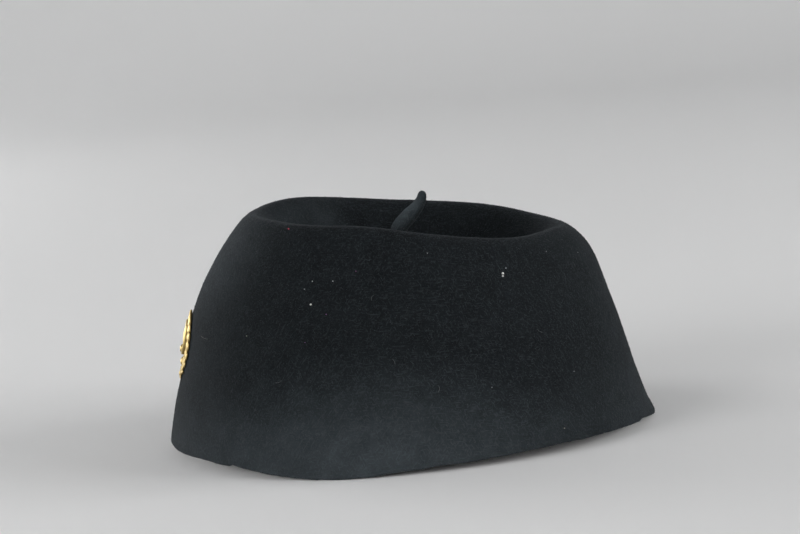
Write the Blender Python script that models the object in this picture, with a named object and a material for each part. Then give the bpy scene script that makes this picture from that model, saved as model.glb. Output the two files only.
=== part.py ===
"""A low black felt fez: felt cap with a sunken crown, felt stem and gilt front badge.

The origin lies on the resting plane, under the middle of the rim.
The front of the hat is -Y, the wearer's left is +X and up is +Z.
Tables and constants are in millimetres, and MM turns them into metres.
"""
import math
from collections import namedtuple

import bmesh
import bpy
from mathutils import Matrix, Vector
from mathutils.bvhtree import BVHTree

MM = 0.001
FRONT_TURN = math.radians(-90.0)
TURN_STEP = 0.01
ROW_STEP = 0.02
MERGE_DISTANCE = 0.0001 * MM
EDGE_TO_EDGE = (0.0, 1.0)
PIECE_GAP = 0.3

# Felt cap
FELT_THICKNESS = 2.6
FELT_COLUMNS = 72
Section = namedtuple("Section", "name front_y back_y half_w front_z side_z back_z outer_steps inner_steps")
SECTIONS = (
    Section("rim", -102.5, 102.5, 80.3, 0.0, 0.0, 0.0, 2, 2),
    Section("hem", -101.0, 99.8, 78.8, 8.4, 7.1, 5.6, 1, 1),
    Section("low wall", -98.9, 97.8, 76.8, 18.7, 15.5, 12.3, 2, 1),
    Section("under badge", -95.5, 95.1, 73.4, 31.0, 26.2, 21.5, 2, 1),
    Section("badge", -91.9, 92.6, 69.2, 45.1, 38.6, 32.2, 2, 1),
    Section("over badge", -88.5, 90.1, 65.0, 57.0, 49.6, 42.3, 1, 1),
    Section("high wall", -82.8, 87.2, 60.4, 69.9, 60.6, 51.4, 1, 1),
    Section("shoulder", -75.6, 84.9, 56.3, 80.7, 70.1, 59.6, 2, 2),
    Section("fold outside", -68.8, 80.1, 50.8, 89.4, 86.3, 71.9, 3, 2),
    Section("crown ridge", -61.6, 71.3, 46.0, 96.5, 91.7, 80.9, 3, 3),
    Section("fold inside", -54.0, 62.7, 40.8, 95.6, 89.5, 79.0, 2, 2),
    Section("dish wall", -47.5, 55.6, 37.4, 86.5, 82.2, 73.9, 2, 2),
    Section("dish foot", -39.0, 46.5, 31.5, 77.5, 74.4, 68.8, 2, 2),
    Section("floor edge", -24.5, 32.0, 22.0, 73.8, 70.9, 66.6, 1, 1),
    Section("floor", -8.5, 18.5, 11.0, 71.0, 69.7, 67.9, 1, 1),
    Section("floor middle", 5.0, 5.0, 0.0, 69.3, 69.3, 69.3, 0, 0),
)

# The hat is fuller at the back than an ellipse, most of all at the rim
BACK_FULLNESS = 0.18
FULLNESS_FADE = 130.0

# Rim wave: along is the place on the hat's length, -1 at the front and 1 at the back.
# The rim lies flat on the surface at three places: both temples and the back.
RIM_WAVE_FADE = 35.0
RimPoint = namedtuple("RimPoint", "along lift")
RIM_WAVE = (
    RimPoint(-1.00, 5.4),
    RimPoint(-0.88, 5.5),
    RimPoint(-0.70, 3.7),
    RimPoint(-0.55, 1.2),
    RimPoint(-0.46, 0.0),
    RimPoint(-0.34, 0.0),
    RimPoint(-0.20, 1.1),
    RimPoint(0.00, 2.3),
    RimPoint(0.20, 3.0),
    RimPoint(0.40, 4.0),
    RimPoint(0.60, 4.6),
    RimPoint(0.80, 4.3),
    RimPoint(0.93, 2.6),
    RimPoint(0.98, 0.0),
    RimPoint(1.00, 0.0),
)

# Dents and folds: each is centred at a turn and a row, and fades to nothing at its spread and reach.
# Turn and spread are in degrees, row and reach in sections, out and up in millimetres.
Dent = namedtuple("Dent", "name turn spread row reach out up")
DENTS = (
    Dent("sag of the left ridge", 24.0, 50.0, 9.6, 3.4, 0.0, -4.0),
    Dent("dip of the left front ridge", -43.0, 30.0, 9.4, 3.0, 0.0, -1.0),
    Dent("rise of the right front ridge", 226.0, 44.0, 9.4, 3.0, 0.0, 2.5),
    Dent("rise of the right back ridge", 143.0, 22.0, 9.4, 3.0, 0.0, 0.8),
    Dent("soft fold in the dish", 225.0, 10.0, 11.4, 1.8, -2.0, 0.0),
    Dent("hollow beside the fold", 208.0, 13.0, 11.4, 1.8, 1.8, 0.0),
    Dent("hollow of the front dish", 252.0, 24.0, 11.5, 1.6, 1.3, 0.0),
    Dent("bulge of the back dish", 118.0, 26.0, 11.5, 1.6, -1.4, 0.0),
    Dent("fold of the left dish", -38.0, 16.0, 11.4, 1.6, -1.6, 0.0),
    Dent("flat behind the badge", -90.0, 16.0, 4.0, 1.1, -0.5, 0.0),
    Dent("hollow of the left wall", 28.0, 38.0, 5.6, 3.2, -0.6, 0.0),
    Dent("hollow of the right wall", 156.0, 42.0, 5.2, 3.2, -0.6, 0.0),
)

# Felt stem: its middle line and its radius, from the foot to the tip
STEM_SIDES = 16
STEM_STEPS = 2
STEM_TIP_RINGS = 3
STEM_LOOK_AHEAD = 0.1
StemPoint = namedtuple("StemPoint", "name y z radius")
STEM_POINTS = (
    StemPoint("foot edge", -3.0, 70.5, 5.3),
    StemPoint("foot", -2.9, 72.3, 4.2),
    StemPoint("lower", -2.3, 76.5, 3.5),
    StemPoint("bend", -0.4, 82.0, 3.4),
    StemPoint("middle", 2.8, 87.0, 3.4),
    StemPoint("upper", 6.8, 90.6, 3.3),
    StemPoint("knee", 10.0, 93.8, 2.7),
    StemPoint("neck", 11.7, 96.6, 2.1),
    StemPoint("tip", 12.2, 98.2, 1.9),
)

# Badge: an upright oval with a leaf wreath round a plain shield, two studs and a knot
BADGE_ROW = 3.96
BADGE_HALF_WIDTH = 12.0
BADGE_HALF_HEIGHT = 14.0
BADGE_COLUMNS = 64
BADGE_RINGS = (0.0, 0.12, 0.24, 0.35, 0.44, 0.51, 0.58, 0.66, 0.71, 0.78, 0.85, 0.92, 0.97, 1.0)
BADGE_BACK_RINGS = (0.0, 0.5, 1.0)
BADGE_PLATE = 0.6
WREATH_MIDDLE = 0.83
WREATH_HALF_WIDTH = 0.17
WREATH_LEAVES = 16
WREATH_TOP_HEIGHT = 1.0
WREATH_BOTTOM_HEIGHT = 0.35
LEAF_DIP = 0.3
Boss = namedtuple("Boss", "name up half_width half_height height")
BOSSES = (
    Boss("shield", 3.4, 6.1, 7.6, 1.5),
    Boss("upper stud", -1.4, 2.3, 2.3, 2.2),
    Boss("lower stud", -6.4, 2.1, 2.1, 0.6),
    Boss("knot", -11.6, 2.8, 1.7, 0.3),
)

# Badge post and nut
POST_RADIUS = 1.2
POST_CLEARANCE = 0.4
POST_SIDES = 20
POST_PAST_NUT = 0.8
POST_SINK = 0.4
NUT_RADIUS = 5.0
NUT_THICKNESS = 1.6
NUT_SIDES = 32
NUT_BEVEL = 0.3
SMOOTH_ANGLE = math.radians(50.0)
RAY_START = 30.0


def clear_scene():
    for item in list(bpy.data.objects):
        bpy.data.objects.remove(item, do_unlink=True)


def make_material(name, color, roughness, metallic):
    material = bpy.data.materials.new(name)
    material.use_nodes = True
    shader = material.node_tree.nodes["Principled BSDF"]
    shader.inputs["Base Color"].default_value = (*color, 1.0)
    shader.inputs["Roughness"].default_value = roughness
    shader.inputs["Metallic"].default_value = metallic
    material.diffuse_color = (*color, 1.0)
    return material


def catmull_rom(before, start, end, after, part):
    """A smooth value between start and end, part of the way along."""
    linear = end - before
    square = 2 * before - 5 * start + 4 * end - after
    cube = 3 * start - before - 3 * end + after
    return 0.5 * (2 * start + linear * part + square * part ** 2 + cube * part ** 3)


def table_value(table, field, place):
    """A table's column read smoothly at a place counted in rows."""
    last = len(table) - 1
    index = min(max(int(math.floor(place)), 0), last - 1)
    start = getattr(table[index], field)
    end = getattr(table[index + 1], field)
    before = getattr(table[index - 1], field) if index > 0 else 2 * start - end
    after = getattr(table[index + 2], field) if index + 2 <= last else 2 * end - start
    return catmull_rom(before, start, end, after, place - index)


def rim_lift(along):
    """How far the rim's edge is lifted off the resting plane."""
    for start, end in zip(RIM_WAVE, RIM_WAVE[1:]):
        if along <= end.along:
            part = (along - start.along) / (end.along - start.along)
            return start.lift + (end.lift - start.lift) * part
    return RIM_WAVE[-1].lift


def turn_difference(turn, other):
    return (turn - other + math.pi) % (2 * math.pi) - math.pi


def felt_surface(turn, row):
    """The felt's outer surface, from the rim at row 0 to the middle of the dish."""
    front_y = table_value(SECTIONS, "front_y", row)
    back_y = table_value(SECTIONS, "back_y", row)
    half_w = table_value(SECTIONS, "half_w", row)
    front_z = table_value(SECTIONS, "front_z", row)
    side_z = table_value(SECTIONS, "side_z", row)
    back_z = table_value(SECTIONS, "back_z", row)
    across = math.cos(turn)
    along = math.sin(turn)
    fullness = 1.0 + BACK_FULLNESS * (1.0 - side_z / FULLNESS_FADE) * max(along, 0.0) ** 2
    half_length = (back_y - front_y) / 2
    point = Vector((half_w * across * fullness, front_y + half_length * (1.0 + along), side_z))
    point.z += (back_z - front_z) / 2 * along + ((front_z + back_z) / 2 - side_z) * along ** 2
    fade = max(0.0, 1.0 - side_z / RIM_WAVE_FADE) ** 1.5
    point.z += rim_lift(along) * fade
    for dent in DENTS:
        sideways = math.degrees(turn_difference(turn, math.radians(dent.turn))) / dent.spread
        upways = (row - dent.row) / dent.reach
        share = max(0.0, 1.0 - sideways ** 2 - upways ** 2) ** 2
        point += share * Vector((dent.out * across, dent.out * along, dent.up))
    return point


def felt_normal(turn, row):
    """The outward direction of the felt, worked out from its neighbouring points."""
    last = len(SECTIONS) - 1
    if row == last:
        return Vector((0.0, 0.0, 1.0))
    sideways = felt_surface(turn + TURN_STEP, row) - felt_surface(turn - TURN_STEP, row)
    upways = felt_surface(turn, row + ROW_STEP) - felt_surface(turn, max(row - ROW_STEP, 0.0))
    return sideways.cross(upways).normalized()


def felt_point(turn, row, depth):
    """A point of the felt, depth below its outer surface."""
    surface = felt_surface(turn, row)
    if depth == 0.0:
        return surface
    normal = felt_normal(turn, row)
    if row == 0.0:
        normal.z = 0.0
        normal.normalize()
    return surface - depth * normal


def section_rows(steps_field):
    """The rows of a skin, with each section's own number of steps to the next."""
    rows = []
    for index, section in enumerate(SECTIONS[:-1]):
        steps = getattr(section, steps_field)
        rows += [index + step / steps for step in range(steps)]
    return rows + [float(len(SECTIONS) - 1)]


def add_sheet(mesh, columns, rows, place):
    """A sheet whose vertices are put by place(turn, row), closed around and merged."""
    before = set(mesh.verts)
    bmesh.ops.create_grid(mesh, x_segments=columns, y_segments=len(rows) - 1, size=1.0)
    fresh = [vertex for vertex in mesh.verts if vertex not in before]
    for vertex in fresh:
        column = round((vertex.co.x + 1.0) / 2.0 * columns) % columns
        row = rows[round((vertex.co.y + 1.0) / 2.0 * (len(rows) - 1))]
        vertex.co = place(2.0 * math.pi * column / columns, row) * MM
    bmesh.ops.remove_doubles(mesh, verts=fresh, dist=MERGE_DISTANCE)


def join_sheets(mesh):
    """Merges the shared edges of a body's sheets and turns its faces outwards."""
    bmesh.ops.remove_doubles(mesh, verts=mesh.verts, dist=MERGE_DISTANCE)
    bmesh.ops.recalc_face_normals(mesh, faces=mesh.faces)


def make_object(name, mesh, material):
    data = bpy.data.meshes.new(name)
    mesh.to_mesh(data)
    mesh.free()
    data.shade_smooth()
    data.set_sharp_from_angle(angle=SMOOTH_ANGLE)
    item = bpy.data.objects.new(name, data)
    bpy.context.scene.collection.objects.link(item)
    if material:
        data.materials.append(material)
    return item


def add_boolean(item, other, operation):
    other.hide_render = True
    other.display_type = "WIRE"
    modifier = item.modifiers.new(operation.title(), "BOOLEAN")
    modifier.operation = operation
    modifier.solver = "EXACT"
    modifier.object = other


def make_felt_body(material):
    def place_outer(turn, row):
        return felt_point(turn, row, 0.0)

    def place_inner(turn, row):
        return felt_point(turn, row, FELT_THICKNESS)

    def place_rim(turn, share):
        return felt_point(turn, 0.0, share * FELT_THICKNESS)

    mesh = bmesh.new()
    add_sheet(mesh, FELT_COLUMNS, section_rows("outer_steps"), place_outer)
    add_sheet(mesh, FELT_COLUMNS, section_rows("inner_steps"), place_inner)
    add_sheet(mesh, FELT_COLUMNS, EDGE_TO_EDGE, place_rim)
    join_sheets(mesh)
    tree = BVHTree.FromBMesh(mesh)
    return make_object("felt_body", mesh, material), tree


def ray_to_felt(tree, start, direction):
    """The first point of the felt from a start in millimetres along a direction."""
    hit = tree.ray_cast(start * MM, direction)[0]
    return hit / MM


def stem_ring(place):
    """Middle, direction and radius of the stem at a place counted in table rows."""
    def middle_at(row):
        return Vector((0.0, table_value(STEM_POINTS, "y", row), table_value(STEM_POINTS, "z", row)))

    middle = middle_at(place)
    ahead = middle_at(place + STEM_LOOK_AHEAD)
    return middle, (ahead - middle).normalized(), table_value(STEM_POINTS, "radius", place)


def make_crown_stem(material, tree):
    last = len(STEM_POINTS) - 1
    body_rows = [step / STEM_STEPS for step in range(last * STEM_STEPS + 1)]
    tip_rows = [last + (ring + 1) / STEM_TIP_RINGS for ring in range(STEM_TIP_RINGS)]

    def seated(point):
        above = point + Vector((0.0, 0.0, RAY_START))
        height = ray_to_felt(tree, above, Vector((0.0, 0.0, -1.0))).z + PIECE_GAP
        return Vector((point.x, point.y, height))

    def place_side(turn, row):
        middle, direction, radius = stem_ring(min(row, float(last)))
        if row > last:
            bend = (row - last) * math.pi / 2
            middle += direction * radius * math.sin(bend)
            radius *= math.cos(bend)
        side = Vector((1.0, 0.0, 0.0))
        other = direction.cross(side)
        point = middle + radius * (math.cos(turn) * side + math.sin(turn) * other)
        return seated(point) if row == 0.0 else point

    def place_foot(turn, share):
        if share == 1.0:
            return place_side(turn, 0.0)
        return seated(Vector((0.0, STEM_POINTS[0].y, STEM_POINTS[0].z)))

    mesh = bmesh.new()
    add_sheet(mesh, STEM_SIDES, body_rows + tip_rows, place_side)
    add_sheet(mesh, STEM_SIDES, EDGE_TO_EDGE, place_foot)
    join_sheets(mesh)
    return make_object("crown_stem", mesh, material)


def badge_frame():
    """Middle of the badge on the felt, and its across, up and outward directions."""
    middle = felt_surface(FRONT_TURN, BADGE_ROW)
    outward = felt_normal(FRONT_TURN, BADGE_ROW)
    across = Vector((0.0, 0.0, 1.0)).cross(outward).normalized()
    return middle, across, outward.cross(across), outward


def badge_relief(across, up):
    """Height of the badge's face over its back."""
    out = math.hypot(across / BADGE_HALF_WIDTH, up / BADGE_HALF_HEIGHT)
    turn = math.atan2(up / BADGE_HALF_HEIGHT, across / BADGE_HALF_WIDTH)
    height = BADGE_PLATE
    off_middle = (out - WREATH_MIDDLE) / WREATH_HALF_WIDTH
    if abs(off_middle) < 1.0:
        share = (1.0 - up / BADGE_HALF_HEIGHT) / 2.0
        ridge = WREATH_TOP_HEIGHT + (WREATH_BOTTOM_HEIGHT - WREATH_TOP_HEIGHT) * share
        leaf = 1.0 - LEAF_DIP * math.sin(WREATH_LEAVES * turn / 2.0) ** 2
        height += ridge * leaf * math.sqrt(1.0 - off_middle ** 2)
    for boss in BOSSES:
        off_boss = math.hypot(across / boss.half_width, (up - boss.up) / boss.half_height)
        if off_boss < 1.0:
            height = max(height, BADGE_PLATE + boss.height * math.sqrt(1.0 - off_boss ** 2))
    return height


def make_badge(material, tree):
    middle, side, rise, outward = badge_frame()

    def place(turn, ring, share):
        across = BADGE_HALF_WIDTH * ring * math.cos(turn)
        up = BADGE_HALF_HEIGHT * ring * math.sin(turn)
        start = middle + across * side + up * rise + RAY_START * outward
        felt = ray_to_felt(tree, start, -outward)
        return felt + (PIECE_GAP + share * badge_relief(across, up)) * outward

    def place_front(turn, ring):
        return place(turn, ring, 1.0)

    def place_back(turn, ring):
        return place(turn, ring, 0.0)

    def place_edge(turn, share):
        return place(turn, 1.0, share)

    mesh = bmesh.new()
    add_sheet(mesh, BADGE_COLUMNS, BADGE_RINGS, place_front)
    add_sheet(mesh, BADGE_COLUMNS, BADGE_BACK_RINGS, place_back)
    add_sheet(mesh, BADGE_COLUMNS, EDGE_TO_EDGE, place_edge)
    join_sheets(mesh)
    return make_object("badge", mesh, material)


def make_rod(name, radius, sides, low, high, material=None):
    """A round rod along the badge's axis, between two heights over the felt's face."""
    middle, side, rise, outward = badge_frame()
    turned = Matrix((side, rise, outward)).transposed().to_4x4()
    moved = Matrix.Translation((middle + outward * (low + high) / 2) * MM)
    mesh = bmesh.new()
    bmesh.ops.create_cone(
        mesh, cap_ends=True, segments=sides, radius1=radius * MM, radius2=radius * MM,
        depth=(high - low) * MM, matrix=moved @ turned)
    return make_object(name, mesh, material)


def nut_seat(tree):
    """Height of the nut's outer face: it clears the felt's inside at its edge."""
    middle, side, rise, outward = badge_frame()
    heights = []
    for index in range(NUT_SIDES):
        turn = 2.0 * math.pi * index / NUT_SIDES
        edge = NUT_RADIUS * (math.cos(turn) * side + math.sin(turn) * rise)
        inside = ray_to_felt(tree, middle + edge - RAY_START * outward, outward)
        heights.append((inside - middle).dot(outward))
    return min(heights) - PIECE_GAP


def make_badge_fixing(material, tree, felt_body, badge):
    """The post on the badge, its hole in the felt and the nut inside the hat."""
    seat = nut_seat(tree)
    nut_low = seat - NUT_THICKNESS
    hole_radius = POST_RADIUS + POST_CLEARANCE
    post = make_rod("post_guide", POST_RADIUS, POST_SIDES, nut_low - POST_PAST_NUT, PIECE_GAP + POST_SINK)
    hole = make_rod("hole_cutter", hole_radius, POST_SIDES, nut_low - RAY_START / 2, RAY_START / 2)
    add_boolean(badge, post, "UNION")
    add_boolean(felt_body, hole, "DIFFERENCE")
    nut = make_rod("badge_nut", NUT_RADIUS, NUT_SIDES, nut_low, seat, material)
    bevel = nut.modifiers.new("Bevel", "BEVEL")
    bevel.width = NUT_BEVEL * MM
    bevel.segments = 1
    add_boolean(nut, hole, "DIFFERENCE")
    return nut


def main():
    clear_scene()
    felt = make_material("black_felt", (0.012, 0.014, 0.016), 0.95, 0.0)
    gilt = make_material("gilt_brass", (0.78, 0.52, 0.17), 0.3, 1.0)
    felt_body, tree = make_felt_body(felt)
    make_crown_stem(felt, tree)
    badge = make_badge(gilt, tree)
    make_badge_fixing(gilt, tree, felt_body, badge)


main()
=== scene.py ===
"""The look of a low black felt fez: brushed felt, loose fibres, a gilt badge and soft light.

The front of the hat is -Y, the wearer's left is +X and up is +Z.
Sizes and places are in millimetres, and MM turns them into metres.
"""

import math
from collections import namedtuple

import bmesh
import bpy
from mathutils import Matrix, Vector, noise
from mathutils.bvhtree import BVHTree


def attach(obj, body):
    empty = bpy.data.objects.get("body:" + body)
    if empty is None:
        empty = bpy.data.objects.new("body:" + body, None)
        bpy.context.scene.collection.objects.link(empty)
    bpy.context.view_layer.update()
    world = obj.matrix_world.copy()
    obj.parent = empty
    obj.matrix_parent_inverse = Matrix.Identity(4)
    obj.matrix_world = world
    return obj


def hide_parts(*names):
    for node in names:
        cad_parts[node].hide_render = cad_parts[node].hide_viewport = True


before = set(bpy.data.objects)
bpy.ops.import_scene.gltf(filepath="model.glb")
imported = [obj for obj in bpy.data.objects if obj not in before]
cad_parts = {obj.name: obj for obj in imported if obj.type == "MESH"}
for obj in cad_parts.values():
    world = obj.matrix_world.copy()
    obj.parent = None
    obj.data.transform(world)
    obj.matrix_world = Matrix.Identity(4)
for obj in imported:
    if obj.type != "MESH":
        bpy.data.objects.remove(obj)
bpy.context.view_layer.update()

MM = 0.001
MERGE_DISTANCE = 0.0001 * MM
QUAD_ANGLE = math.radians(60.0)

# Camera: it looks at the wearer's left side from a little above the rim
CAMERA_AZIMUTH = math.radians(87.0)
CAMERA_ELEVATION = math.radians(10.33)
CAMERA_DISTANCE = 860.0
CAMERA_AIM = Vector((0.0, 0.0, 50.0))
CAMERA_ROLL = math.radians(-5.09)
CAMERA_TILT = math.radians(1.238)
CAMERA_PAN = math.radians(0.087)
CAMERA_LENS = 91.92

# Felt cap: a rim face looks down and lies below a height, and a rim corner bends by more than
# an angle in radians. The badge's hole is left bare of fibres this far round and behind it
CAP_SUBDIVISION = 2
RIM_FACE_SLOPE = -0.8
RIM_FACE_TOP = 7.0
RIM_CORNER = 0.7
RIM_CREASE = 0.9
HOLE_REACH = 2.3
HOLE_DEPTH = 12.0
WEAR_AND_HIGHLIGHT_SMOOTHING = 2

# Pale patches of painted light: painted bounce light on the brim, painted sheen at the left brim and
# the front shoulder, and painted light on the front of the dish. Where each is, its turn and spread
# in degrees, and its height and reach
Fade = namedtuple("Fade", "name turn spread height reach amount")
PAINTED_LIGHTS = (
    Fade("brim", 0.0, 720.0, 0.0, 36.0, 0.22),
    Fade("left brim", -16.0, 68.0, 2.0, 50.0, 0.78),
    Fade("front shoulder", -84.0, 34.0, 82.0, 26.0, 0.3),
    Fade("front of the dish", -122.0, 46.0, 90.0, 14.0, 0.28),
)

# Soft bumps of felt that was steamed by hand: their size and depth
Unevenness = namedtuple("Unevenness", "name size depth")
FELT_UNEVENNESS = (
    Unevenness("blocking", 30.0, 0.35),
    Unevenness("ripple", 10.0, 0.12),
    Unevenness("pile", 3.6, 0.05),
)

# The cut of the rim: how much of the wear and painted highlight it is spared, and its nicks and sway
RIM_SPARED_SHARE = 0.85
RIM_SPARED_SPREAD = 2.0
RIM_NICK_SIZE = 4.2
RIM_NICK_DEPTH = 0.45
RIM_SWAY_SIZE = 12.0
RIM_SWAY_DEPTH = 0.5

# Places where the cut of the rim steps up: their turn and reach in degrees, and their depth
Step = namedtuple("Step", "name turn reach depth")
RIM_STEPS = (
    Step("front left", -55.1, 7.0, 0.85),
    Step("back left", 64.0, 9.0, 0.7),
    Step("back right", 141.0, 11.0, 0.6),
)

# Felt stem: the side that faces the light, which is painted paler as painted light, and at which
# share of its height, and how far from there, that painted light lies
STEM_SUBDIVISION = 2
STEM_FOOT_HEIGHT = 4.0
STEM_FOOT_SINK = 0.7
STEM_LIT_SIDE = Vector((0.62, -0.52, 0.58))
STEM_PAINTED_LIGHT = 1.1
STEM_PAINTED_LIGHT_PLACE = 0.74
STEM_PAINTED_LIGHT_REACH = 0.38
STEM_UNEVENNESS = (
    Unevenness("lump", 7.0, 0.28),
    Unevenness("pile", 2.2, 0.1),
)

# Loose fibres: size and bend of one fibre, how many a square metre, their leans in degrees,
# and how rare the pale ones are
Fibre = namedtuple("Fibre", "name length width bend segments density low_lean high_lean rarity seed")
FIBRES = (
    Fibre("felt_nap", 1.5, 0.075, 0.0, 1, 820000.0, 74.0, 96.0, 4.0, 3),
    Fibre("felt_fuzz", 1.7, 0.045, 0.8, 3, 130000.0, 48.0, 92.0, 4.0, 8),
    Fibre("loose_fibres", 2.6, 0.09, 0.6, 4, 26000.0, 84.0, 94.0, 0.8, 14),
)
FIBRE_SIDES = 3
FIBRE_SHORTEST = 0.4
FIBRE_LONGEST = 1.35
FIBRE_THINNEST = 0.7
FIBRE_THICKEST = 1.3
FIBRE_SWAY = 0.3
FIBRE_BOW = 0.4
FIBRE_FLOOR_GAP = 0.02

# Lint on the felt: where it lies seen from the wearer's left, its size and its colour
Lint = namedtuple("Lint", "name y z size color")
LINT = (
    Lint("left fleck", -38.7, 65.8, 0.75, (0.80, 0.80, 0.76)),
    Lint("right fleck", 38.1, 70.2, 0.85, (0.86, 0.86, 0.84)),
    Lint("right fleck foot", 37.9, 69.2, 0.75, (0.84, 0.84, 0.82)),
    Lint("upper crumb", -37.2, 74.3, 0.45, (0.42, 0.46, 0.44)),
    Lint("middle crumb", -29.2, 74.0, 0.45, (0.44, 0.45, 0.46)),
    Lint("right crumb", 39.6, 72.0, 0.50, (0.40, 0.43, 0.47)),
    Lint("front crumb", -65.2, 54.2, 0.45, (0.20, 0.23, 0.18)),
    Lint("inner crumb", -40.6, 71.5, 0.40, (0.36, 0.38, 0.40)),
    Lint("ridge crumb", 8.8, 81.6, 0.42, (0.24, 0.25, 0.26)),
    Lint("back crumb", 57.6, 75.4, 0.40, (0.22, 0.23, 0.25)),
    Lint("far crumb", 71.8, 71.9, 0.42, (0.22, 0.23, 0.25)),
    Lint("low crumb", 55.4, 9.7, 0.48, (0.30, 0.30, 0.26)),
    Lint("wall crumb", 28.2, 29.1, 0.42, (0.22, 0.23, 0.24)),
    Lint("side crumb", 62.6, 29.2, 0.42, (0.22, 0.23, 0.24)),
    Lint("red fleck", -44.5, 93.8, 0.62, (0.50, 0.05, 0.09)),
    Lint("violet fleck", -42.4, 51.8, 0.40, (0.22, 0.08, 0.26)),
    Lint("high violet fleck", -33.1, 61.9, 0.40, (0.24, 0.09, 0.26)),
    Lint("ridge violet fleck", -19.8, 77.2, 0.40, (0.26, 0.09, 0.22)),
)
LINT_ROUGHNESS = 0.45
LINT_LIFT = 1.0 / 3.0

# Single threads that lie on the felt: turn is counted from the hat's length, in degrees
Thread = namedtuple("Thread", "name y z length turn bend lift color")
THREADS = (
    Thread("pale thread", -84.2, 52.2, 6.4, -5.0, 0.14, 0.3, (0.24, 0.24, 0.22)),
    Thread("short thread", -8.5, 42.0, 2.2, 118.0, 0.6, 0.15, (0.14, 0.15, 0.15)),
    Thread("low thread", 7.0, 30.0, 2.6, 80.0, 0.8, 0.15, (0.16, 0.17, 0.17)),
    Thread("upper thread", -15.0, 66.0, 2.4, 60.0, -0.7, 0.15, (0.13, 0.14, 0.14)),
    Thread("side thread", -55.5, 37.0, 2.8, 20.0, 0.7, 0.15, (0.13, 0.14, 0.14)),
    Thread("back thread", 51.5, 46.0, 2.4, 140.0, -0.8, 0.15, (0.13, 0.14, 0.14)),
)
THREAD_RADIUS = 0.06
THREAD_SIDES = 5
THREAD_STEPS = 8

# Lines that look for the felt start this far out, over the badge and beside the hat
RAY_START = 30.0
RAY_START_SIDE = 300.0

# Badge, in its own plane: across, up and outwards
BADGE_MIDDLE = Vector((0.0, -91.542, 44.575))
BADGE_LEAN = math.radians(15.170)
BADGE_GAP = 0.08
PLATE_SIDES = 96
SHIELD_SIDES = 64
STUD_SIDES = 32
BERRY_SIDES = 12

# A turned form's section, from the middle of its back round to the middle of its face
Ring = namedtuple("Ring", "name reach height")
PLATE_RINGS = (
    Ring("back middle", 0.0, 0.0),
    Ring("back", 0.35, 0.0),
    Ring("back", 0.7, 0.0),
    Ring("back edge", 0.985, 0.0),
    Ring("edge foot", 1.0, 0.10),
    Ring("edge", 0.998, 0.30),
    Ring("bead side", 0.988, 0.50),
    Ring("bead", 0.972, 0.63),
    Ring("bead top", 0.955, 0.66),
    Ring("bead inside", 0.938, 0.58),
    Ring("field edge", 0.925, 0.42),
    Ring("field", 0.7, 0.44),
    Ring("field", 0.35, 0.50),
    Ring("face middle", 0.0, 0.52),
)
SHIELD_RINGS = (
    Ring("back middle", 0.0, 0.0),
    Ring("foot", 1.0, 0.0),
    Ring("side", 1.0, 0.95),
    Ring("border edge", 0.975, 1.25),
    Ring("border top", 0.93, 1.38),
    Ring("border inside", 0.875, 1.28),
    Ring("field edge", 0.85, 0.98),
    Ring("field", 0.6, 1.30),
    Ring("field", 0.3, 1.54),
    Ring("face middle", 0.0, 1.60),
)
STUD_RINGS = (
    Ring("back middle", 0.0, 0.0),
    Ring("collar foot", 1.0, 0.0),
    Ring("collar side", 1.0, 0.42),
    Ring("collar top", 0.92, 0.52),
    Ring("groove", 0.78, 0.46),
    Ring("neck", 0.72, 0.50),
    Ring("ball side", 0.70, 0.68),
    Ring("ball shoulder", 0.58, 0.88),
    Ring("ball", 0.32, 0.98),
    Ring("face middle", 0.0, 1.0),
)
BERRY_RINGS = (
    Ring("back middle", 0.0, 0.0),
    Ring("foot", 0.9, 0.0),
    Ring("side", 1.0, 0.4),
    Ring("shoulder", 0.72, 0.8),
    Ring("face middle", 0.0, 1.0),
)
LOOP_RINGS = (
    Ring("inside foot", 0.42, 0.0),
    Ring("outside foot", 1.0, 0.0),
    Ring("outside", 1.0, 0.6),
    Ring("band edge", 0.92, 0.9),
    Ring("band", 0.72, 1.0),
    Ring("inside edge", 0.5, 0.85),
    Ring("inside", 0.42, 0.5),
)

# The badge's turned forms: where each stands, its half sizes, its height, its lean in degrees and
# how square its outline is at the top and the bottom
Form = namedtuple("Form", "name rings sides across up half_width half_height height lean top bottom")
FORMS = (
    Form("plate", PLATE_RINGS, PLATE_SIDES, 0.0, 0.0, 12.0, 14.0, 1.0, 0.0, 2.0, 2.0),
    Form("shield", SHIELD_RINGS, SHIELD_SIDES, 0.0, 3.4, 6.0, 7.5, 1.3, 0.0, 3.2, 1.75),
    Form("upper stud", STUD_RINGS, STUD_SIDES, 0.0, -1.4, 2.5, 2.5, 2.8, 0.0, 2.0, 2.0),
    Form("lower stud", STUD_RINGS, STUD_SIDES, 0.0, -6.8, 2.2, 2.2, 1.35, 0.0, 2.0, 2.0),
    Form("left bow loop", LOOP_RINGS, STUD_SIDES, 2.3, -11.7, 2.0, 1.15, 0.95, 14.0, 2.0, 2.0),
    Form("right bow loop", LOOP_RINGS, STUD_SIDES, -2.3, -11.7, 2.0, 1.15, 0.95, -14.0, 2.0, 2.0),
    Form("bow knot", BERRY_RINGS, STUD_SIDES, 0.0, -11.9, 0.95, 1.15, 1.15, 0.0, 2.6, 2.6),
)

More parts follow.
